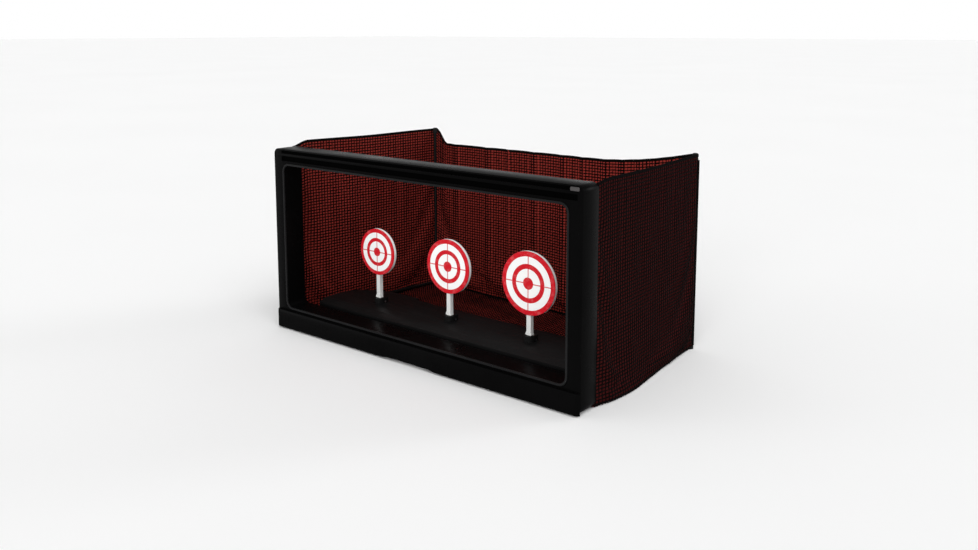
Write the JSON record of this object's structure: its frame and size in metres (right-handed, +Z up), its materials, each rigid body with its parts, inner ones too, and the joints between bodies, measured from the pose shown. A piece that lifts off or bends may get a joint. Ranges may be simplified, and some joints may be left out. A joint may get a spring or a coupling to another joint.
{
  "type": "auto-reset target trap",
  "caption": "Table-top target trap: black front frame, open-topped mesh net behind it, and a powered base whose round bullseye targets tip back when hit.",
  "frame": {"origin": "centre of the footprint's box, on the surface that the trap stands on", "axes": "+Z up, +X to the right of someone facing the window, the window faces -Y"},
  "size_m": [0.39, 0.238, 0.2],
  "materials": {
    "black_plastic": "fine moulded semi-gloss",
    "dark_plastic": "matte",
    "grey_plastic": "satin",
    "white_plastic": "satin",
    "target_face": "white with printed red rings",
    "net_mesh": "black mesh over dark red lining",
    "rubber": "matte",
    "steel": "plated",
    "black_wire": "coated",
    "brass": "plain",
    "gear_plastic": "natural",
    "cell_jacket": "plain jacket",
    "board_green": "lacquered",
    "lead_red": "insulation"
  },
  "bodies": {
    "housing": {"front_frame": "black_plastic", "kick_panel": "black_plastic", "base_cover": "black_plastic", "retainer_ring": "dark_plastic", "base_plate": "dark_plastic", "battery_door": "dark_plastic", "gearbox_frame": "dark_plastic", "switch_body": "dark_plastic", "window_trim": "grey_plastic", "corner_clip": "grey_plastic", "net_left": "net_mesh", "net_right": "net_mesh", "net_rear": "net_mesh", "net_floor": "net_mesh", "rubber_foot_1": "rubber", "rubber_foot_2": "rubber", "rubber_foot_3": "rubber", "rubber_foot_4": "rubber", "rod_cap_left": "rubber", "rod_cap_right": "rubber", "rod_boot_left": "rubber", "rod_boot_right": "rubber", "net_rod_left": "black_wire", "net_rod_right": "black_wire", "frame_screw_1": "steel", "frame_screw_2": "steel", "frame_screw_3": "steel", "frame_screw_4": "steel", "base_screw_1": "steel", "base_screw_2": "steel", "base_screw_3": "steel", "base_screw_4": "steel", "battery_contact_left": "steel", "battery_contact_right": "steel", "pivot_pin_1": "steel", "pivot_pin_2": "steel", "pivot_pin_3": "steel", "gear_pin": "steel", "motor": "steel", "contact_strip": "brass", "battery_cell_1": "cell_jacket", "battery_cell_2": "cell_jacket", "battery_cell_3": "cell_jacket", "circuit_board": "board_green", "motor_lead": "lead_red", "battery_lead": "lead_red"},
    "target_1": {"target_1_stem": "white_plastic", "target_1_disc": "target_face", "target_1_screw": "steel"},
    "target_2": {"target_2_stem": "white_plastic", "target_2_disc": "target_face", "target_2_screw": "steel"},
    "target_3": {"target_3_stem": "white_plastic", "target_3_disc": "target_face", "target_3_screw": "steel"},
    "reset": {"reset_bar": "gear_plastic", "sector_gear": "gear_plastic"},
    "wheel": {"compound_gear": "gear_plastic"},
    "motor_spindle": {"motor_pinion": "brass"},
    "switch": {"switch_knob": "grey_plastic"}
  },
  "joints": [
    {"name": "target_1_tip", "type": "hinge", "parent": "housing", "child": "target_1", "pos_m": [-0.103, -0.049, 0.03], "axis": [-1, 0, 0], "range_deg": [0, 78]},
    {"name": "target_2_tip", "type": "hinge", "parent": "housing", "child": "target_2", "pos_m": [-0.003, -0.049, 0.03], "axis": [-1, 0, 0], "range_deg": [0, 78]},
    {"name": "target_3_tip", "type": "hinge", "parent": "housing", "child": "target_3", "pos_m": [0.097, -0.049, 0.03], "axis": [-1, 0, 0], "range_deg": [0, 78]},
    {"name": "reset_rock", "type": "hinge", "parent": "housing", "child": "reset", "pos_m": [0, -0.053, 0.0134], "axis": [-1, 0, 0], "range_deg": [0, 36]},
    {"name": "wheel_turn", "type": "hinge", "parent": "housing", "child": "wheel", "pos_m": [-0.078, -0.0404, 0.0134], "axis": [1, 0, 0], "range_deg": [0, 132.5]},
    {"name": "motor_turn", "type": "hinge", "parent": "housing", "child": "motor_spindle", "pos_m": [-0.078, -0.0288, 0.0149], "axis": [-1, 0, 0], "range_deg": [0, 441]},
    {"name": "switch_slide", "type": "slide", "parent": "housing", "child": "switch", "axis": [1, 0, 0], "range_m": [0, 0.004]}
  ],
  "couplings": [
    {"joint": "wheel_turn", "follows": "reset_rock", "ratio": 3.6667},
    {"joint": "motor_turn", "follows": "reset_rock", "ratio": 12.222}
  ]
}
